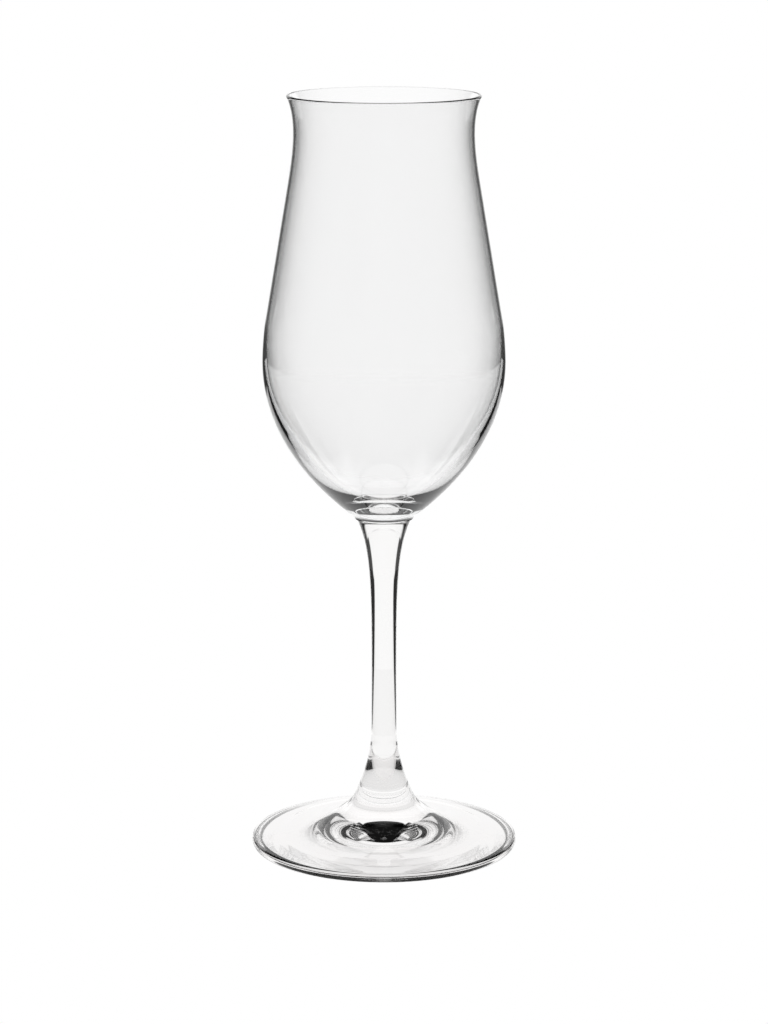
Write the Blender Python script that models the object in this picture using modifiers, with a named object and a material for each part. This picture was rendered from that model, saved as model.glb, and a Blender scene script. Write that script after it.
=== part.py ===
"""Stemmed rose wine glass: a blown bowl with a flared lip, a drawn stem and a pressed foot.

The three pieces of glass are turned about +Z and stand on the plane z = 0, with the origin at the
middle of the foot. Lengths are in metres. An outline point is (radius, height). A lean is measured
from straight up, outwards where it is positive. A reach is how far a curve keeps to the direction
in which it leaves or arrives.
"""

import math

import bpy
from mathutils import Vector
from mathutils.geometry import interpolate_bezier

# Whole glass
HEIGHT = 0.2250
SEAM_GAP = 0.0003
GLASS_INDEX = 1.50
GLASS_ROUGHNESS = 0.02

# Bowl, outer side, from the lip down
RIM_RADIUS = 0.0282
LIP_RADIUS = 0.00045
LIP_LEAN = math.radians(23.7)
LIP_REACH = 0.0070
SHOULDER = Vector((0.02785, 0.2000))
SHOULDER_REACH = 0.0095
FLANK_END = Vector((0.03475, 0.1591))
FLANK_REACH = 0.0034
BELLY = Vector((0.0357, 0.1470))
BELLY_REACH_UP = 0.0029
BELLY_REACH_DOWN = 0.01485
BASE_EDGE = Vector((0.00896, 0.1008))
BASE_LEAN = math.radians(48.4)
BASE_REACH = 0.0202
CREASE_REACH = 0.0002
HEEL = Vector((0.0087, 0.1003))
HEEL_REACH_UP = 0.0002
HEEL_REACH_DOWN = 0.0002
BOWL_SEAM = Vector((0.0081, 0.0999))
SEAM_REACH = 0.0003

# Bowl, inner side: the wall thickens from the flank down to where the cavity's floor begins
FLANK_WALL = 0.0008
LOW_WALL = 0.0018
LOW_WALL_HEIGHT = 0.1300
WALL_GROWTH = 1.84
WALL_REACH = 0.0094
FLOOR_REACH = 0.0167
INSIDE_BOTTOM = 0.1040

# Stem, from the seam under the bowl down
STEM_TOP_RADIUS = 0.0080
STEM_TOP_LEAN = math.radians(23.4)
STEM_TOP_REACH = 0.00995
WAIST = Vector((0.00366, 0.0520))
WAIST_REACH = 0.0294
KNEE = Vector((0.00374, 0.0370))
KNEE_REACH = 0.0050
STEM_BASE = Vector((0.00927, 0.0139))
STEM_BASE_LEAN = math.radians(-25.8)
STEM_BASE_REACH = 0.0120

# Foot, upper side, from the seam out to the edge
BOSS_LEAN = math.radians(-35.4)
BOSS_REACH = 0.0049
PLATE_START = Vector((0.03045, 0.00424))
PLATE_LEAN = math.radians(-86.3)
PLATE_REACH = 0.0101
FOOT_RADIUS = 0.0399
EDGE_HEIGHT = 0.0015
EDGE_RISE = 0.0009
EDGE_WIDTH = 0.0010
EDGE_UNDERCUT = 0.0007

# Foot, underside, from the contact ring in to the middle of the hollow
RING_WIDTH = 0.0006
RING_WALL_WIDTH = 0.0017
RING_WALL_HEIGHT = 0.00096
RING_WALL_REACH = 0.00064
HOLLOW_LEAN = math.radians(-85.2)
HOLLOW_REACH_OUT = 0.0030
HOLLOW_REACH_IN = 0.0084
HOLLOW_HEIGHT = 0.00487

# How finely the outlines and the turned surfaces are divided
TINY_CURVE = 3
SHORT_CURVE = 4
MIDDLE_CURVE = 8
LONG_CURVE = 12
EDGE_ARC = 6
BOWL_STEPS = 54
STEM_STEPS = 36
FOOT_STEPS = 60
SHARP_ANGLE = math.radians(40)
MERGE_DISTANCE = 0.00001

DOWN = Vector((0.0, -1.0))
INWARDS = Vector((-1.0, 0.0))
COLLECTION_NAME = "rose_wine_glass"


def leaning(lean, length=1.0):
    """A step of that length, tilted from straight up by lean."""
    return Vector((math.sin(lean), math.cos(lean))) * length


def bow(start, leave, arrive, end, pieces):
    """Points along a cubic curve after its start. It leaves along one step and arrives along the other."""
    return interpolate_bezier(start, start + leave, end - arrive, end, pieces + 1)[1:]


def arc(centre, width, height, first, last, pieces):
    """Points on an ellipse from one angle to another, counted from +radius towards +height."""
    angles = [first + (last - first) * i / pieces for i in range(pieces + 1)]
    return [centre + Vector((math.cos(a) * width, math.sin(a) * height)) for a in angles]


def inner_wall(outer):
    """The outer wall's points, downwards, moved in by a wall that thickens towards the base."""
    inner = []
    for above, here, below in zip(outer, outer[1:], outer[2:]):
        if here.y >= LOW_WALL_HEIGHT:
            share = (FLANK_END.y - here.y) / (FLANK_END.y - LOW_WALL_HEIGHT)
            wall = FLANK_WALL + (LOW_WALL - FLANK_WALL) * share ** WALL_GROWTH
            down = (below - above).normalized()
            inner.append(here + Vector((down.y, -down.x)) * wall)
    return inner


def bowl_outline():
    """Up the inner wall from the middle of the cavity, over the lip, and down the outer wall to the seam."""
    flank_lean = math.atan2(SHOULDER.x - FLANK_END.x, SHOULDER.y - FLANK_END.y)
    through_wall = leaning(flank_lean - math.pi / 2, FLANK_WALL)
    shoulder_inside = SHOULDER + through_wall
    lip_centre = Vector((RIM_RADIUS - LIP_RADIUS, HEIGHT - LIP_RADIUS))
    lip = arc(lip_centre, LIP_RADIUS, LIP_RADIUS, math.pi - LIP_LEAN, -LIP_LEAN, MIDDLE_CURVE)
    bottom = Vector((0.0, INSIDE_BOTTOM))
    at_lip = leaning(LIP_LEAN, LIP_REACH)
    at_shoulder = leaning(flank_lean, SHOULDER_REACH)

    belly = [FLANK_END]
    belly += bow(FLANK_END, -leaning(flank_lean, FLANK_REACH), DOWN * BELLY_REACH_UP, BELLY, SHORT_CURVE)
    belly += bow(BELLY, DOWN * BELLY_REACH_DOWN, -leaning(BASE_LEAN, BASE_REACH), BASE_EDGE, LONG_CURVE)

    outer = bow(lip[-1], -at_lip, -at_shoulder, SHOULDER, MIDDLE_CURVE) + belly
    outer += bow(BASE_EDGE, -leaning(BASE_LEAN, CREASE_REACH), DOWN * HEEL_REACH_UP, HEEL, TINY_CURVE)
    outer += bow(HEEL, DOWN * HEEL_REACH_DOWN, INWARDS * SEAM_REACH, BOWL_SEAM, TINY_CURVE)

    cavity = [FLANK_END + through_wall] + inner_wall(belly)
    into_floor = (cavity[-1] - cavity[-2]).normalized() * WALL_REACH
    cavity += bow(cavity[-1], into_floor, INWARDS * FLOOR_REACH, bottom, MIDDLE_CURVE)
    inner = cavity[::-1] + [shoulder_inside]
    inner += bow(shoulder_inside, at_shoulder, at_lip, lip[0], MIDDLE_CURVE)[:-1]
    return inner + lip + outer + [Vector((0.0, BOWL_SEAM.y))]


def stem_outline():
    """Down the drawn stem from the seam under the bowl to the seam on the foot."""
    top = Vector((STEM_TOP_RADIUS, BOWL_SEAM.y - SEAM_GAP))
    on_base = -leaning(STEM_BASE_LEAN, STEM_BASE_REACH)
    outline = [Vector((0.0, top.y)), top]
    outline += bow(top, -leaning(STEM_TOP_LEAN, STEM_TOP_REACH), DOWN * WAIST_REACH, WAIST, LONG_CURVE)
    outline += [KNEE]
    outline += bow(KNEE, DOWN * KNEE_REACH, on_base, STEM_BASE, MIDDLE_CURVE)
    return outline + [Vector((0.0, STEM_BASE.y))]


def foot_outline():
    """Down the bell-shaped boss, out over the plate, round the edge, and in under the hollow underside."""
    boss = STEM_BASE + DOWN * SEAM_GAP
    upper_centre = Vector((FOOT_RADIUS - EDGE_WIDTH, EDGE_HEIGHT))
    lower_centre = Vector((FOOT_RADIUS - EDGE_UNDERCUT, EDGE_HEIGHT))
    edge_top = upper_centre + Vector((0.0, EDGE_RISE))
    plate_fall = (PLATE_START.y - edge_top.y) / (edge_top.x - PLATE_START.x)
    edge_start = math.atan2(EDGE_RISE, plate_fall * EDGE_WIDTH)
    ring_inside = Vector((lower_centre.x - RING_WIDTH, 0.0))
    wall_top = ring_inside + Vector((-RING_WALL_WIDTH, RING_WALL_HEIGHT))
    hollow = Vector((0.0, HOLLOW_HEIGHT))
    on_plate = -leaning(PLATE_LEAN, PLATE_REACH)
    on_wall = leaning(HOLLOW_LEAN, RING_WALL_REACH)
    off_wall = leaning(HOLLOW_LEAN, HOLLOW_REACH_OUT)

    outline = [Vector((0.0, boss.y)), boss]
    outline += bow(boss, -leaning(BOSS_LEAN, BOSS_REACH), on_plate, PLATE_START, LONG_CURVE)
    outline += arc(upper_centre, EDGE_WIDTH, EDGE_RISE, edge_start, 0.0, EDGE_ARC)
    outline += arc(lower_centre, EDGE_UNDERCUT, EDGE_HEIGHT, 0.0, -math.pi / 2, EDGE_ARC)[1:]
    outline += [ring_inside]
    outline += bow(ring_inside, INWARDS * RING_WALL_REACH, on_wall, wall_top, SHORT_CURVE)
    outline += bow(wall_top, off_wall, INWARDS * HOLLOW_REACH_IN, hollow, MIDDLE_CURVE)
    return outline


def clear_glass(name, colour):
    """Colourless glass, with the faint tint that its thickness gives."""
    material = bpy.data.materials.new(name)
    material.use_nodes = True
    surface = material.node_tree.nodes["Principled BSDF"]
    surface.inputs["Base Color"].default_value = (*colour, 1.0)
    surface.inputs["Metallic"].default_value = 0.0
    surface.inputs["Roughness"].default_value = GLASS_ROUGHNESS
    surface.inputs["IOR"].default_value = GLASS_INDEX
    surface.inputs["Transmission Weight"].default_value = 1.0
    return material


def turned(name, outline, steps, material, collection, stand):
    """One closed piece of glass, spun from its outline about the glass's axis."""
    mesh = bpy.data.meshes.new(name)
    edges = [(i, i + 1) for i in range(len(outline) - 1)]
    mesh.from_pydata([(p.x, 0.0, p.y) for p in outline], edges, [])
    piece = bpy.data.objects.new(name, mesh)
    collection.objects.link(piece)
    screw = piece.modifiers.new("turn", "SCREW")
    screw.axis = "Z"
    screw.angle = math.tau
    screw.steps = steps
    screw.render_steps = steps
    screw.use_merge_vertices = True
    screw.merge_threshold = MERGE_DISTANCE
    solid = bpy.data.meshes.new_from_object(piece.evaluated_get(bpy.context.evaluated_depsgraph_get()))
    piece.modifiers.clear()
    piece.data = solid
    solid.name = name
    solid.shade_smooth()
    solid.set_sharp_from_angle(angle=SHARP_ANGLE)
    solid.materials.append(material)
    piece.parent = stand
    bpy.data.meshes.remove(mesh)
    return piece


def build():
    for old in list(bpy.data.objects):
        bpy.data.objects.remove(old, do_unlink=True)
    collection = bpy.data.collections.new(COLLECTION_NAME)
    bpy.context.scene.collection.children.link(collection)
    stand = bpy.data.objects.new("glass_axis", None)
    collection.objects.link(stand)
    pieces = (
        ("bowl", bowl_outline(), BOWL_STEPS, (0.94, 0.95, 0.96)),
        ("stem", stem_outline(), STEM_STEPS, (0.95, 0.95, 0.95)),
        ("foot", foot_outline(), FOOT_STEPS, (0.93, 0.95, 0.94)),
    )
    for name, outline, steps, colour in pieces:
        turned(name, outline, steps, clear_glass(name + "_glass", colour), collection, stand)


build()
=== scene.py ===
# %% [markdown]
# # A stemmed glass for rose wine
#
# The real glass is three pieces of clear glass, made one after the other and joined while they were
# hot: a thin blown bowl, a stem drawn out below it, and a pressed foot. Clear glass has almost no
# colour of its own. What the eye reads is the room seen through it, bent by every curve, so a small
# change of shape shows at once, and the light around the glass has to be planned.
#
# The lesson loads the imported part, turns a finer copy of each piece, gives the pieces a glass finish,
# and stands the glass in a small bright-field set.

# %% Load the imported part
import math

import bmesh
import bpy
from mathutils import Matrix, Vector
from mathutils.geometry import interpolate_bezier


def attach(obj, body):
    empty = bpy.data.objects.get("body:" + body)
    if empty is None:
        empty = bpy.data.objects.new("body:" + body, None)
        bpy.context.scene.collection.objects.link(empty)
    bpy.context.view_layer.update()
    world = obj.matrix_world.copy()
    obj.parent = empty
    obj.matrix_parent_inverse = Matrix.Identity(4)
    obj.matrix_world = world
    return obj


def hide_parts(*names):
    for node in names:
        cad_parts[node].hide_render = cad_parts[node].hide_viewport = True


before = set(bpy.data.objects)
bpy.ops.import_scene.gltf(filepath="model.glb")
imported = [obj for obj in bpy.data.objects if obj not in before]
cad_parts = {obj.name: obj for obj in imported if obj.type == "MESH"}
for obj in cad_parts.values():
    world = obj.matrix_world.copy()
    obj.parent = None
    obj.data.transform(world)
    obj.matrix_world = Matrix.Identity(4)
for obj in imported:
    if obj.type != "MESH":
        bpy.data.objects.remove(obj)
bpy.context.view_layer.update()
MM = 0.001
print("packed pieces:", sorted(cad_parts))

# %% [markdown]
# ## The camera
#
# The lip and the foot are circles, so in a picture they are ellipses, and the two ellipses tell how
# far away the lens was and how far down it looked. That gives a long lens about 0.93 m away, looking
# down by some twelve degrees. The focal length is kept in picture heights, because the picture's long
# side is what the sensor width belongs to.

# %% Camera
PICTURE_HEIGHT, FOCAL_PIXELS = 1024, 3198.0
FOCAL_LENGTH = FOCAL_PIXELS / PICTURE_HEIGHT
CAMERA_PLACE = Vector((0.0, -0.92598, 0.30431))
CAMERA_PITCH = 0.21527

camera_data = bpy.data.cameras.new("studio_camera")
camera_data.lens = FOCAL_LENGTH * camera_data.sensor_width
camera = bpy.data.objects.new("studio_camera", camera_data)
camera.location = CAMERA_PLACE
camera.rotation_euler = (math.pi / 2 - CAMERA_PITCH, 0.0, 0.0)
bpy.context.scene.collection.objects.link(camera)
bpy.context.scene.camera = camera
print("lens in mm:", round(camera_data.lens, 1), "looking down by", round(math.degrees(CAMERA_PITCH), 1))

# %% [markdown]
# ## Outlines
#
# A glass like this is round, so each piece is one outline turned about the axis. An outline point is
# (radius, height) in metres. The curves are cubic: each leaves its start along one step and arrives at
# its end along another, which keeps the joins smooth. A step's length is called a reach, and a lean is
# measured from straight up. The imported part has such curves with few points. Here they get several
# times as many, because light that bends shows every flat. The lower bowl is also fuller here than the
# packed one, nearer to the photograph, with a wall to suit.

# %% Outline helpers
FINE = 4
TINY, SHORT, MIDDLE, LONG = 3 * FINE, 4 * FINE, 8 * FINE, 12 * FINE
DOWN, INWARDS = Vector((0.0, -1.0)), Vector((-1.0, 0.0))


def leaning(lean, length=1.0):
    """A step of that length, tilted from straight up by lean, outwards where lean is positive."""
    return Vector((math.sin(lean), math.cos(lean))) * length


def bow(start, leave, arrive, end, pieces):
    """Points along a cubic curve after its start. It leaves along one step and arrives along the other."""
    return interpolate_bezier(start, start + leave, end - arrive, end, pieces + 1)[1:]


def straight(start, end, pieces):
    """Points along a straight line after its start."""
    return [start.lerp(end, (i + 1) / pieces) for i in range(pieces)]


def arc(centre, width, height, first, last, pieces):
    """Points on an ellipse from one angle to another, counted from +radius towards +height."""
    angles = [first + (last - first) * i / pieces for i in range(pieces + 1)]
    return [centre + Vector((math.cos(a) * width, math.sin(a) * height)) for a in angles]


# %% [markdown]
# ## The bowl
#
# The bowl was blown into a mould, cut off its cap and fire-polished, so the lip is a tiny round bead
# that leans outwards. Below it the wall runs in to a shoulder, out along a straight flank to the belly,
# and then round into a solid base with a rounded heel at the seam. First the outer side, from the lip down.

# %% Bowl, outer side
HEIGHT = 0.2250
RIM_RADIUS, LIP_RADIUS, LIP_LEAN, LIP_REACH = 0.0282, 0.00045, math.radians(23.7), 0.0070
SHOULDER, SHOULDER_REACH = Vector((0.02785, 0.2000)), 0.0095
FLANK_END, FLANK_REACH = Vector((0.03475, 0.1591)), 0.0034
BELLY, BELLY_REACH_UP, BELLY_REACH_DOWN = Vector((0.0357, 0.1470)), 0.0029, 0.0243
BASE_EDGE, BASE_LEAN, BASE_REACH = Vector((0.00896, 0.1008)), math.radians(52.2), 0.0093
HEEL, HEEL_REACH_UP, HEEL_REACH_DOWN = Vector((0.0087, 0.1003)), 0.0002, 0.0002
BOWL_SEAM, CREASE_REACH, SEAM_REACH = Vector((0.0081, 0.0999)), 0.0002, 0.0003

flank_lean = math.atan2(SHOULDER.x - FLANK_END.x, SHOULDER.y - FLANK_END.y)
at_lip, at_shoulder = leaning(LIP_LEAN, LIP_REACH), leaning(flank_lean, SHOULDER_REACH)
lip_centre = Vector((RIM_RADIUS - LIP_RADIUS, HEIGHT - LIP_RADIUS))
lip = arc(lip_centre, LIP_RADIUS, LIP_RADIUS, math.pi - LIP_LEAN, -LIP_LEAN, SHORT)

belly = [FLANK_END]
belly += bow(FLANK_END, -leaning(flank_lean, FLANK_REACH), DOWN * BELLY_REACH_UP, BELLY, SHORT)
belly += bow(BELLY, DOWN * BELLY_REACH_DOWN, -leaning(BASE_LEAN, BASE_REACH), BASE_EDGE, LONG)
bowl_outside = bow(lip[-1], -at_lip, -at_shoulder, SHOULDER, MIDDLE)
bowl_outside += straight(SHOULDER, FLANK_END, MIDDLE)[:-1] + belly
bowl_outside += bow(BASE_EDGE, -leaning(BASE_LEAN, CREASE_REACH), DOWN * HEEL_REACH_UP, HEEL, TINY)
bowl_outside += bow(HEEL, DOWN * HEEL_REACH_DOWN, INWARDS * SEAM_REACH, BOWL_SEAM, TINY)
print("outer side:", len(bowl_outside), "points, straight flank leaning", round(math.degrees(flank_lean), 1))

# %% [markdown]
# The inner side isn't touched by the mould. Its wall follows the outer side at the flank and thickens
# downwards, where more glass stayed, until the cavity's floor rounds off. How much it thickens was
# judged from the dark lines along the lower outline in the photograph.

# %% Bowl, inner side
FLANK_WALL, LOW_WALL, LOW_WALL_HEIGHT, WALL_GROWTH = 0.0008, 0.0024, 0.1260, 1.50
WALL_REACH, FLOOR_REACH, INSIDE_BOTTOM = 0.0086, 0.0132, 0.1043
STEM_TOP_RADIUS = 0.0080

through_wall = leaning(flank_lean - math.pi / 2, FLANK_WALL)
shoulder_inside = SHOULDER + through_wall
cavity = [FLANK_END + through_wall]
for above, here, below in zip(belly, belly[1:], belly[2:]):
    if here.y >= LOW_WALL_HEIGHT:
        share = (FLANK_END.y - here.y) / (FLANK_END.y - LOW_WALL_HEIGHT)
        wall = FLANK_WALL + (LOW_WALL - FLANK_WALL) * share ** WALL_GROWTH
        along = (below - above).normalized()
        cavity.append(here + Vector((along.y, -along.x)) * wall)
into_floor = (cavity[-1] - cavity[-2]).normalized() * WALL_REACH
cavity += bow(cavity[-1], into_floor, INWARDS * FLOOR_REACH, Vector((0.0, INSIDE_BOTTOM)), MIDDLE)
bowl_inside = cavity[::-1] + straight(cavity[0], shoulder_inside, MIDDLE)
bowl_inside += bow(shoulder_inside, at_shoulder, at_lip, lip[0], MIDDLE)[:-1]
bowl_outline = bowl_inside + lip + bowl_outside
bowl_outline += [Vector((STEM_TOP_RADIUS, BOWL_SEAM.y)), Vector((0.0, BOWL_SEAM.y))]
print("bowl outline:", len(bowl_outline), "points, wall from", FLANK_WALL / MM, "to", LOW_WALL / MM, "mm")

# %% [markdown]
# ## The stem
#
# The stem was drawn out of hot glass, which gives it one long hollow curve: wide under the bowl, a
# waist below the middle, and a flare where it meets the foot.

# %% Stem outline
STEM_TOP_LEAN, STEM_TOP_REACH = math.radians(23.4), 0.00995
WAIST, WAIST_REACH = Vector((0.00366, 0.0520)), 0.0294
KNEE, KNEE_REACH = Vector((0.00374, 0.0370)), 0.0050
STEM_BASE, STEM_BASE_LEAN, STEM_BASE_REACH = Vector((0.00927, 0.0139)), math.radians(-25.8), 0.0120

stem_top = Vector((STEM_TOP_RADIUS, BOWL_SEAM.y))
stem_outline = [Vector((0.0, stem_top.y)), stem_top]
stem_outline += bow(stem_top, -leaning(STEM_TOP_LEAN, STEM_TOP_REACH), DOWN * WAIST_REACH, WAIST, LONG)
stem_outline += straight(WAIST, KNEE, MIDDLE)
stem_outline += bow(KNEE, DOWN * KNEE_REACH, -leaning(STEM_BASE_LEAN, STEM_BASE_REACH), STEM_BASE, LONG)
stem_outline += [Vector((0.0, STEM_BASE.y))]
print("stem outline:", len(stem_outline), "points,", round(2 * WAIST.x / MM, 1), "mm at the waist")

# %% [markdown]
# ## The foot
#
# The foot was pressed in a mould: a bell-shaped boss under the stem, a plate that thins outwards and a
# rounded edge. It stands on a narrow ring close to the edge. A short steep wall leads from that ring
# into a shallow hollow, so that the glass doesn't rock. The underside can't be seen, but the dark lens
# under the boss and the dark arc inside the rim are its picture, bent by the glass above it.

# %% Foot outline
BOSS_LEAN, BOSS_REACH = math.radians(-35.4), 0.0049
PLATE_START, PLATE_LEAN, PLATE_REACH = Vector((0.03045, 0.00424)), math.radians(-86.3), 0.0101
FOOT_RADIUS, EDGE_HEIGHT, EDGE_RISE = 0.0399, 0.0015, 0.0009
EDGE_WIDTH, EDGE_UNDERCUT = 0.0010, 0.0007
RING_WIDTH, RING_WALL_WIDTH, RING_WALL_HEIGHT, RING_WALL_REACH = 0.0006, 0.0017, 0.00096, 0.00064
HOLLOW_LEAN, HOLLOW_REACH_OUT, HOLLOW_REACH_IN = math.radians(-85.2), 0.0030, 0.0084
HOLLOW_HEIGHT = 0.00487

upper_centre = Vector((FOOT_RADIUS - EDGE_WIDTH, EDGE_HEIGHT))
lower_centre = Vector((FOOT_RADIUS - EDGE_UNDERCUT, EDGE_HEIGHT))
edge_top = upper_centre + Vector((0.0, EDGE_RISE))
plate_fall = (PLATE_START.y - edge_top.y) / (edge_top.x - PLATE_START.x)
edge_from = math.atan2(EDGE_RISE, plate_fall * EDGE_WIDTH)
upper_edge = arc(upper_centre, EDGE_WIDTH, EDGE_RISE, edge_from, 0.0, MIDDLE)
lower_edge = arc(lower_centre, EDGE_UNDERCUT, EDGE_HEIGHT, 0.0, -math.pi / 2, MIDDLE)
ring_inside = Vector((lower_centre.x - RING_WIDTH, 0.0))
wall_top = ring_inside + Vector((-RING_WALL_WIDTH, RING_WALL_HEIGHT))
hollow_top = Vector((0.0, HOLLOW_HEIGHT))
on_plate, on_wall = -leaning(PLATE_LEAN, PLATE_REACH), leaning(HOLLOW_LEAN, RING_WALL_REACH)

foot_outline = [Vector((0.0, STEM_BASE.y)), STEM_BASE]
foot_outline += bow(STEM_BASE, -leaning(BOSS_LEAN, BOSS_REACH), on_plate, PLATE_START, LONG)
foot_outline += straight(PLATE_START, upper_edge[0], SHORT)[:-1]
foot_outline += upper_edge + lower_edge[1:] + [ring_inside]
foot_outline += bow(ring_inside, INWARDS * RING_WALL_REACH, on_wall, wall_top, MIDDLE)
leaving = leaning(HOLLOW_LEAN, HOLLOW_REACH_OUT)
foot_outline += bow(wall_top, leaving, INWARDS * HOLLOW_REACH_IN, hollow_top, LONG)
ring_across = round(2 * ring_inside.x / MM, 1)
print("foot outline:", len(foot_outline), "points, on a ring", ring_across, "mm across inside")

# %% [markdown]
# ## Turning the pieces
#
# Blender's Screw modifier turns an outline into a round body. Its result is kept as the mesh, so the
# piece is plain geometry. The pieces meet at two flat seams, where the real glass is one. Their seam
# faces get a finish of their own, so that light crosses the seam as if it weren't there.

# %% Turn each piece
TURN_STEPS = 192
WELD = 0.000001
SHARP_ANGLE = math.radians(40)


def turned(name, outline, seams):
    """A closed round piece. Its faces inside the seams' edge points go in the second material slot."""
    line = bpy.data.meshes.new(name + "_outline")
    line.from_pydata([(p.x, 0.0, p.y) for p in outline], [(i, i + 1) for i in range(len(outline) - 1)], [])
    piece = bpy.data.objects.new(name, line)
    bpy.context.scene.collection.objects.link(piece)
    screw = piece.modifiers.new("turn", "SCREW")
    screw.axis = "Z"
    screw.angle = math.tau
    screw.steps = screw.render_steps = TURN_STEPS
    screw.use_merge_vertices = True
    screw.merge_threshold = WELD
    body = bpy.data.meshes.new_from_object(piece.evaluated_get(bpy.context.evaluated_depsgraph_get()))
    piece.modifiers.clear()
    piece.data = body
    body.name = name
    bpy.data.meshes.remove(line)
    work = bmesh.new()
    work.from_mesh(body)
    bmesh.ops.remove_doubles(work, verts=work.verts, dist=WELD)
    bmesh.ops.recalc_face_normals(work, faces=work.faces)
    for face in work.faces:
        reach = max(v.co.xy.length for v in face.verts)
        face.material_index = int(
            any(all(abs(v.co.z - s.y) < WELD for v in face.verts) and reach < s.x + WELD for s in seams)
        )
        face.smooth = True
    volume = work.calc_volume(signed=True)
    open_edges = sum(not e.is_manifold for e in work.edges)
    work.to_mesh(body)
    work.free()
    body.set_sharp_from_angle(angle=SHARP_ANGLE)
    millilitres = round(volume / (10 * MM) ** 3, 2)
    print(name, len(body.polygons), "faces,", millilitres, "ml of glass,", open_edges, "open edges")
    return piece


blown_bowl = turned("blown_bowl", bowl_outline, [stem_top])
drawn_stem = turned("drawn_stem", stem_outline, [stem_top, STEM_BASE])
pressed_foot = turned("pressed_foot", foot_outline, [STEM_BASE])

# %% [markdown]
# ## Clear glass
#
# A finish is a small graph of shader nodes. Three helpers keep it short to write: one turns a colour's
# hex code into the linear values that light is counted in, one adds a node with its settings and links,
# and one starts an empty material.

# %% Material helpers
def linear(hex_colour):
    """A hex sRGB colour as linear red, green, blue and alpha."""
    parts = [int(hex_colour[i:i + 2], 16) / 255 for i in (1, 3, 5)]
    return [c / 12.92 if c <= 0.04045 else ((c + 0.055) / 1.055) ** 2.4 for c in parts] + [1.0]


def add_node(tree, kind, settings=(), links=()):
    """A node of that kind, with settings by socket or property, and what is linked into its sockets."""
    node = tree.nodes.new(kind)
    for name, value in dict(settings).items():
        if isinstance(name, int) or name in node.inputs:
            node.inputs[name].default_value = value
        else:
            setattr(node, name, value)
    for name, source in dict(links).items():
        tree.links.new(source, node.inputs[name])
    return node


def empty_material(name):
    """A material with only its output node, and its tree."""
    material = bpy.data.materials.new(name)
    material.use_nodes = True
    material.node_tree.nodes.clear()
    return material, material.node_tree, material.node_tree.nodes.new("ShaderNodeOutputMaterial")


# %% [markdown]
# The glass is colourless crystal glass, with an index of about 1.50. It was fire-polished, so it has no
# grain and hardly any roughness. What tells it from a perfect lens is how it was worked: blown and drawn
# glass keeps faint lines along the way it was pulled, a few tenths of a micrometre high, and pressed
# glass keeps a soft chill ripple from the mould. They show only as a slight unrest in the dark edges.

# %% Glass finishes
GLASS_INDEX = 1.50
WORN_ROUGHNESS = 0.004


def clear_glass(name, pale, deep, line_width, line_length, line_height):
    """Fire-polished crystal glass with working lines of that width, length and height in millimetres."""
    material, tree, output = empty_material(name)
    place = add_node(tree, "ShaderNodeTexCoord")
    per_metre = [1 / (size * MM) for size in (line_width, line_width, line_length)]
    along = add_node(tree, "ShaderNodeMapping", {"Scale": per_metre}, {"Vector": place.outputs["Object"]})
    grain = {"Scale": 1.0, "Detail": 2.0, "Roughness": 0.4}
    lines = add_node(tree, "ShaderNodeTexNoise", grain, {"Vector": along.outputs["Vector"]})
    height = lines.outputs["Fac"]
    worked = {"Strength": 1.0, "Distance": line_height * MM}
    relief = add_node(tree, "ShaderNodeBump", worked, {"Height": height})
    tints = {"data_type": "RGBA", "A": linear(pale), "B": linear(deep)}
    tint = add_node(tree, "ShaderNodeMix", tints, {"Factor": height})
    polish = add_node(tree, "ShaderNodeMapRange", {"To Max": WORN_ROUGHNESS}, {"Value": height})
    finish = {"IOR": GLASS_INDEX, "Transmission Weight": 1.0}
    inputs = {"Base Color": tint.outputs["Result"], "Roughness": polish.outputs["Result"]}
    inputs["Normal"] = relief.outputs["Normal"]
    shader = add_node(tree, "ShaderNodeBsdfPrincipled", finish, inputs)
    tree.links.new(shader.outputs["BSDF"], output.inputs["Surface"])
    return material


BLOWN_LINES, DRAWN_LINES, CHILL_RIPPLE = (6.0, 60.0, 0.0006), (4.0, 80.0, 0.0004), (7.0, 7.0, 0.0004)
blown = clear_glass("blown_crystal_glass", "#ffffff", "#fefefe", *BLOWN_LINES)
drawn = clear_glass("drawn_crystal_glass", "#fefefe", "#fdfcfb", *DRAWN_LINES)
pressed = clear_glass("pressed_crystal_glass", "#ffffff", "#fffcfb", *CHILL_RIPPLE)
fused, fused_tree, fused_output = empty_material("fused_seam")
clear = add_node(fused_tree, "ShaderNodeBsdfTransparent")
fused_tree.links.new(clear.outputs["BSDF"], fused_output.inputs["Surface"])
print("finishes:", [finish.name for finish in (blown, drawn, pressed, fused)])

# %% [markdown]
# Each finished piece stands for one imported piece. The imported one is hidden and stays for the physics.
# The first material slot is the glass, the second the seam.

# %% Put the pieces on the frame
for piece, node, glass in (
    (blown_bowl, "bowl", blown),
    (drawn_stem, "stem", drawn),
    (pressed_foot, "foot", pressed),
):
    piece.data.materials.append(glass)
    piece.data.materials.append(fused)
    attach(piece, "root")
    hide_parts(node)
    print(piece.name, "stands for", node, "in", glass.name)

# %% [markdown]
# ## A bright-field set
#
# Clear glass on white is lit from behind. A white panel stands at the back and everything beside and
# in front of the glass is dark, so the middle of each piece shows the panel and its edges, which bend
# the view sideways, draw themselves as dark lines. The set stands on a turntable that faces the camera,
# so that the glass can be looked at from every side.

# %% Turntable
turntable = bpy.data.objects.new("turntable", None)
bpy.context.scene.collection.objects.link(turntable)
facing = turntable.constraints.new("LOCKED_TRACK")
facing.target = camera
facing.track_axis = "TRACK_NEGATIVE_Y"
facing.lock_axis = "LOCK_Z"
print("the set turns about z to face", camera.name)


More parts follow.
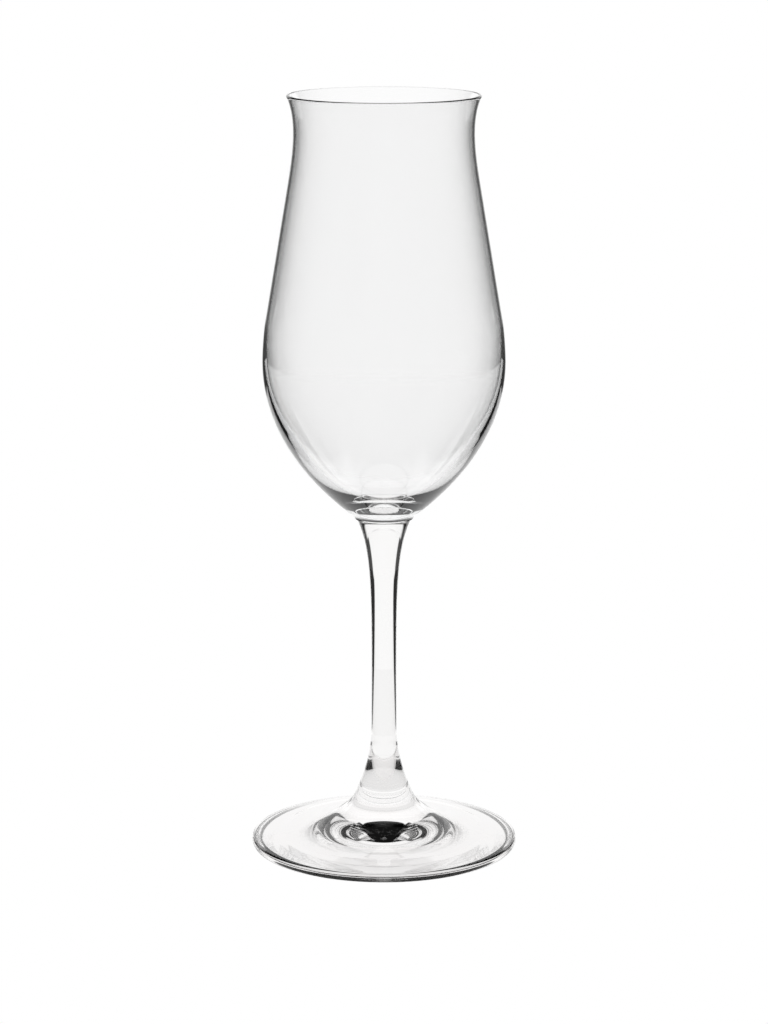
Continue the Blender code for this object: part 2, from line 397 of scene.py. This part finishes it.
def card(name, corners, material):
    """A card on the turntable, as part of the set: its corners go along one long edge and back."""
    mesh = bpy.data.meshes.new(name)
    last = len(corners) - 1
    faces = [(i, i + 1, last - i - 1, last - i) for i in range(len(corners) // 2 - 1)]
    mesh.from_pydata(corners, [], faces)
    mesh.materials.append(material)
    sheet = bpy.data.objects.new(name, mesh)
    bpy.context.scene.collection.objects.link(sheet)
    sheet.parent = turntable
    return sheet


SOFT = {"interpolation_type": "SMOOTHSTEP"}

# %% [markdown]
# The panel is a soft one: white in the middle and fading to its sides and its top, as a lamp behind a
# diffuser does. Its lower part is narrow, so the thin wall of the bowl gets its grey shading and its
# dark edge. Higher up, where only the foot and the top of the stem look, a band of it is wide.

# %% White panel
PANEL_DISTANCE, PANEL_HALF_WIDTH, PANEL_TOP, PANEL_LEVEL = 0.55, 0.80, 0.80, 1.06
PANEL_CORE, PANEL_END, PANEL_SIDE = 0.05, 0.21, 0.08
PANEL_LOW, PANEL_HIGH, PANEL_CROWN = 0.30, 0.55, 0.02

panel_light, tree, output = empty_material("lit_white_panel")
place = add_node(tree, "ShaderNodeTexCoord")
axes = add_node(tree, "ShaderNodeSeparateXYZ", links={"Vector": place.outputs["Object"]})
aside = add_node(tree, "ShaderNodeMath", {"operation": "ABSOLUTE"}, {0: axes.outputs["X"]})
across = {"From Min": PANEL_CORE, "From Max": PANEL_END, "To Min": 1.0, "To Max": PANEL_SIDE}
middle = add_node(tree, "ShaderNodeMapRange", {**SOFT, **across}, {"Value": aside.outputs[0]})
upwards = {"From Min": PANEL_LOW, "From Max": PANEL_HIGH, "To Min": 1.0, "To Max": PANEL_CROWN}
bottom = add_node(tree, "ShaderNodeMapRange", {**SOFT, **upwards}, {"Value": axes.outputs["Z"]})
both = {0: middle.outputs["Result"], 1: bottom.outputs["Result"]}
tall = add_node(tree, "ShaderNodeMath", {"operation": "MULTIPLY"}, both)
print("panel", round(PANEL_DISTANCE / MM), "mm behind, fading out to", round(PANEL_END / MM), "mm aside")

# %% [markdown]
# The wide band is a second soft shape on the same panel. Where the two overlap, the brighter one counts.

# %% Wide band of the panel
BAND_CORE, BAND_END, BAND_LOW, BAND_LOW_FADE = 0.40, 0.62, 0.197, 0.010
BAND_HIGH, BAND_HIGH_FADE = 0.32, 0.10

across = {"From Min": BAND_CORE, "From Max": BAND_END, "To Min": 1.0, "To Max": 0.0}
width = add_node(tree, "ShaderNodeMapRange", {**SOFT, **across}, {"Value": aside.outputs[0]})
upwards = {"From Min": BAND_LOW, "From Max": BAND_LOW + BAND_LOW_FADE}
above = add_node(tree, "ShaderNodeMapRange", {**SOFT, **upwards}, {"Value": axes.outputs["Z"]})
upwards = {"From Min": BAND_HIGH, "From Max": BAND_HIGH + BAND_HIGH_FADE, "To Min": 1.0, "To Max": 0.0}
below = add_node(tree, "ShaderNodeMapRange", {**SOFT, **upwards}, {"Value": axes.outputs["Z"]})
both = {0: above.outputs["Result"], 1: below.outputs["Result"]}
height = add_node(tree, "ShaderNodeMath", {"operation": "MULTIPLY"}, both)
both = {0: width.outputs["Result"], 1: height.outputs[0]}
wide = add_node(tree, "ShaderNodeMath", {"operation": "MULTIPLY"}, both)
either = {0: tall.outputs[0], 1: wide.outputs[0]}
brighter = add_node(tree, "ShaderNodeMath", {"operation": "MAXIMUM"}, either)
scaled = {"operation": "MULTIPLY", 1: PANEL_LEVEL}
level = add_node(tree, "ShaderNodeMath", scaled, {0: brighter.outputs[0]})
glow = add_node(tree, "ShaderNodeEmission", links={"Strength": level.outputs[0]})
tree.links.new(glow.outputs["Emission"], output.inputs["Surface"])
left, right = -PANEL_HALF_WIDTH, PANEL_HALF_WIDTH
panel_corners = [(left, 0.0), (right, 0.0), (right, PANEL_TOP), (left, PANEL_TOP)]
panel = card("white_panel", [(x, PANEL_DISTANCE, z) for x, z in panel_corners], panel_light)
panel.visible_camera = False
print("wide band from", round(BAND_LOW / MM), "to", round(BAND_HIGH / MM), "mm above the floor")

# %% [markdown]
# Two low curved cards stand nearer, behind the foot. The bowl looks mostly over them, but the flank of
# the foot looks into the outer one and the top of the stem into the inner one, and that keeps both
# bright. Their edges are soft, so that little of them shows in the glass.

# %% Low curved cards
CARD_STEPS, CARD_LEVEL, CARD_FADE, END_FADE = 40, 1.05, 0.006, math.radians(4.0)


def curved_card(name, radius, bottom, top, end):
    """A soft-edged lit card round the axis, between two heights and out to an end bearing on each side."""
    material, tree, output = empty_material("lit_" + name)
    place = add_node(tree, "ShaderNodeTexCoord")
    axes = add_node(tree, "ShaderNodeSeparateXYZ", links={"Vector": place.outputs["Object"]})
    aside = add_node(tree, "ShaderNodeMath", {"operation": "ABSOLUTE"}, {0: axes.outputs["X"]})
    turn = {0: aside.outputs[0], 1: axes.outputs["Y"]}
    bearing = add_node(tree, "ShaderNodeMath", {"operation": "ARCTAN2"}, turn)
    edge = {"From Min": top - CARD_FADE, "From Max": top, "To Min": 1.0, "To Max": 0.0}
    under = add_node(tree, "ShaderNodeMapRange", {**SOFT, **edge}, {"Value": axes.outputs["Z"]})
    edge = {"From Min": bottom, "From Max": bottom + CARD_FADE}
    over = add_node(tree, "ShaderNodeMapRange", {**SOFT, **edge}, {"Value": axes.outputs["Z"]})
    edge = {"From Min": end - END_FADE, "From Max": end, "To Min": 1.0, "To Max": 0.0}
    within = add_node(tree, "ShaderNodeMapRange", {**SOFT, **edge}, {"Value": bearing.outputs[0]})
    both = {0: under.outputs["Result"], 1: over.outputs["Result"]}
    band = add_node(tree, "ShaderNodeMath", {"operation": "MULTIPLY"}, both)
    both = {0: band.outputs[0], 1: within.outputs["Result"]}
    cover = add_node(tree, "ShaderNodeMath", {"operation": "MULTIPLY"}, both)
    glow = add_node(tree, "ShaderNodeEmission", {"Strength": CARD_LEVEL})
    clear = add_node(tree, "ShaderNodeBsdfTransparent")
    either = {"Fac": cover.outputs[0], 1: clear.outputs["BSDF"], 2: glow.outputs["Emission"]}
    mixed = add_node(tree, "ShaderNodeMixShader", links=either)
    tree.links.new(mixed.outputs["Shader"], output.inputs["Surface"])
    turns = [end * (2 * i / CARD_STEPS - 1) for i in range(CARD_STEPS + 1)]
    line = [(radius * math.sin(t), radius * math.cos(t)) for t in turns]
    corners = [(x, y, max(bottom, 0.0)) for x, y in line] + [(x, y, top) for x, y in reversed(line)]
    sheet = card(name, corners, material)
    sheet.visible_camera = False
    print(name, round(radius / MM), "mm from the axis, up to", round(top / MM), "mm")


OUTER_RADIUS, OUTER_BOTTOM, OUTER_TOP, OUTER_TURN = 0.20, -0.006, 0.080, math.radians(34.0)
INNER_RADIUS, INNER_BOTTOM, INNER_TOP, INNER_TURN = 0.11, 0.064, 0.120, math.radians(36.5)
curved_card("outer_card", OUTER_RADIUS, OUTER_BOTTOM, OUTER_TOP, OUTER_TURN)
curved_card("inner_card", INNER_RADIUS, INNER_BOTTOM, INNER_TOP, INNER_TURN)

# %% [markdown]
# The floor is a glowing sheet that the camera sees as plain white paper. To the glass the sheet carries
# painted light and shade: a painted lit wedge that opens towards the panel, with painted shade beyond its
# sides and in front of the glass. The drawn stem shows those sides as its dark edges.

# %% Floor sheet with painted light and shade
SHEET_HALF, SHEET_LEAN, SHEET_FADE, SHEET_PAINTED_SHADE = 0.064, 0.43, 0.018, 0.03
FRONT_FROM, FRONT_TO = math.radians(90.0), math.radians(130.0)

floor_light, tree, output = empty_material("painted_light_floor")
place = add_node(tree, "ShaderNodeTexCoord")
axes = add_node(tree, "ShaderNodeSeparateXYZ", links={"Vector": place.outputs["Object"]})
aside = add_node(tree, "ShaderNodeMath", {"operation": "ABSOLUTE"}, {0: axes.outputs["X"]})
back = add_node(tree, "ShaderNodeMath", {"operation": "MAXIMUM", 1: 0.0}, {0: axes.outputs["Y"]})
lean = add_node(tree, "ShaderNodeMath", {"operation": "MULTIPLY", 1: SHEET_LEAN}, {0: back.outputs[0]})
gap = {0: aside.outputs[0], 1: lean.outputs[0]}
beyond = add_node(tree, "ShaderNodeMath", {"operation": "SUBTRACT"}, gap)
sheet_end = SHEET_HALF + SHEET_FADE
# Painted shade: the sheet drops to a dark level beyond the sides of the painted lit wedge.
across = {"From Min": SHEET_HALF, "From Max": sheet_end, "To Min": 1.0, "To Max": SHEET_PAINTED_SHADE}
wedge = add_node(tree, "ShaderNodeMapRange", {**SOFT, **across}, {"Value": beyond.outputs[0]})
# Painted shade in front of the glass: the sheet fades out from the sides round to the front.
turn = {0: aside.outputs[0], 1: axes.outputs["Y"]}
bearing = add_node(tree, "ShaderNodeMath", {"operation": "ARCTAN2"}, turn)
around = {"From Min": FRONT_FROM, "From Max": FRONT_TO, "To Min": 1.0, "To Max": 0.0}
behind = add_node(tree, "ShaderNodeMapRange", {**SOFT, **around}, {"Value": bearing.outputs[0]})
both = {0: wedge.outputs["Result"], 1: behind.outputs["Result"]}
sheet = add_node(tree, "ShaderNodeMath", {"operation": "MULTIPLY"}, both)
print("sheet", round(2 * SHEET_HALF / MM), "mm wide at the glass, opening by", SHEET_LEAN, "on each side")

# %% [markdown]
# Round the foot the sheet carries a painted pool of light, and right under the standing ring a painted
# contact shadow, dark because the ring keeps the light out there. That painted dark line is what draws the
# rim of the foot.

# %% Painted light patch and painted contact shadow
PATCH_CORE, PATCH_END, PATCH_FROM, PATCH_TO = 0.044, 0.055, math.radians(92.0), math.radians(155.0)
CONTACT_CORE, CONTACT_END, CONTACT_BACK = 0.0385, 0.0391, 0.95
CONTACT_FROM, CONTACT_TO = math.radians(25.0), math.radians(60.0)

distance = add_node(tree, "ShaderNodeVectorMath", {"operation": "LENGTH"}, {0: place.outputs["Object"]})
# Painted pool of light on the sheet round the foot, fading out towards the front.
outwards = {"From Min": PATCH_CORE, "From Max": PATCH_END, "To Min": 1.0, "To Max": 0.0}
close = add_node(tree, "ShaderNodeMapRange", {**SOFT, **outwards}, {"Value": distance.outputs["Value"]})
around = {"From Min": PATCH_FROM, "From Max": PATCH_TO, "To Min": 1.0, "To Max": 0.0}
sides = add_node(tree, "ShaderNodeMapRange", {**SOFT, **around}, {"Value": bearing.outputs[0]})
both = {0: close.outputs["Result"], 1: sides.outputs["Result"]}
patch = add_node(tree, "ShaderNodeMath", {"operation": "MULTIPLY"}, both)
either = {0: sheet.outputs[0], 1: patch.outputs[0]}
open_floor = add_node(tree, "ShaderNodeMath", {"operation": "MAXIMUM"}, either)
# Painted contact shadow: a dark ring just inside the standing ring, faint at the back and fully dark from
# the sides round to the front.
around = {"From Min": CONTACT_FROM, "From Max": CONTACT_TO, "To Min": CONTACT_BACK, "To Max": 0.0}
dark = add_node(tree, "ShaderNodeMapRange", {**SOFT, **around}, {"Value": bearing.outputs[0]})
outwards = {"From Min": CONTACT_CORE, "From Max": CONTACT_END, "To Max": 1.0}
line = {"Value": distance.outputs["Value"], "To Min": dark.outputs["Result"]}
contact = add_node(tree, "ShaderNodeMapRange", {**SOFT, **outwards}, line)
both = {0: open_floor.outputs[0], 1: contact.outputs["Result"]}
outside = add_node(tree, "ShaderNodeMath", {"operation": "MULTIPLY"}, both)
print("patch out to", round(PATCH_END / MM), "mm, contact line inside", round(CONTACT_END / MM, 1), "mm")

# %% [markdown]
# Under the hollow of the foot the sheet carries a little painted shade. The camera itself sees plain white
# paper.

# %% Painted shade under the foot
FLOOR_HALF_WIDTH, FLOOR_FRONT = 1.2, -0.6
UNDER_CORE, UNDER_END, UNDER_PAINTED_SHADE = 0.0360, 0.0365, 0.87

# Painted shade under the hollow of the foot, inside the painted contact shadow.
outwards = {"From Min": UNDER_CORE, "From Max": UNDER_END, "To Min": 1.0, "To Max": 0.0}
under = add_node(tree, "ShaderNodeMapRange", {**SOFT, **outwards}, {"Value": distance.outputs["Value"]})
inner = {"Factor": under.outputs["Result"], "A": outside.outputs[0]}
level = add_node(tree, "ShaderNodeMix", {"data_type": "FLOAT", "B": UNDER_PAINTED_SHADE}, inner)
path = add_node(tree, "ShaderNodeLightPath")
eye = {"Factor": path.outputs["Is Camera Ray"], "A": level.outputs["Result"]}
seen = add_node(tree, "ShaderNodeMix", {"data_type": "FLOAT", "B": 1.0}, eye)
glow = add_node(tree, "ShaderNodeEmission", links={"Strength": seen.outputs["Result"]})
tree.links.new(glow.outputs["Emission"], output.inputs["Surface"])
left, right, front, rear = -FLOOR_HALF_WIDTH, FLOOR_HALF_WIDTH, FLOOR_FRONT, PANEL_DISTANCE
floor_corners = [(left, front), (right, front), (right, rear), (left, rear)]
card("painted_light_floor", [(x, y, 0.0) for x, y in floor_corners], floor_light)
print("floor", round(2 * FLOOR_HALF_WIDTH / MM), "mm wide, level", UNDER_PAINTED_SHADE, "under the foot")

# %% [markdown]
# The room is dark to the glass, and the picture ground behind everything is white.

# %% Dark room, white picture ground
ROOM_LEVEL = 0.007

room = bpy.data.worlds.new("studio_room")
room.use_nodes = True
bpy.context.scene.world = room
tree = room.node_tree
tree.nodes.clear()
white = linear("#ffffff")
dark = add_node(tree, "ShaderNodeBackground", {"Color": white, "Strength": ROOM_LEVEL})
ground = add_node(tree, "ShaderNodeBackground", {"Color": white, "Strength": 1.0})
path = add_node(tree, "ShaderNodeLightPath")
either = {"Fac": path.outputs["Is Camera Ray"], 1: dark.outputs[0], 2: ground.outputs[0]}
choice = add_node(tree, "ShaderNodeMixShader", links=either)
add_node(tree, "ShaderNodeOutputWorld", links={"Surface": choice.outputs["Shader"]})
print("room level", ROOM_LEVEL)

# %% [markdown]
# A ray through clear glass meets many faces before it leaves, so it needs many bounces. The plain view
# transform keeps white paper white.

# %% Picture settings
LIGHT_BOUNCES = 32
scene = bpy.context.scene
scene.view_settings.view_transform = "Standard"
scene.cycles.max_bounces = LIGHT_BOUNCES
scene.cycles.transmission_bounces = LIGHT_BOUNCES
scene.cycles.glossy_bounces = LIGHT_BOUNCES
scene.cycles.transparent_max_bounces = 2 * LIGHT_BOUNCES
scene.cycles.sample_clamp_indirect = 0.0
scene.cycles.use_adaptive_sampling = False
print("light may bounce", LIGHT_BOUNCES, "times")
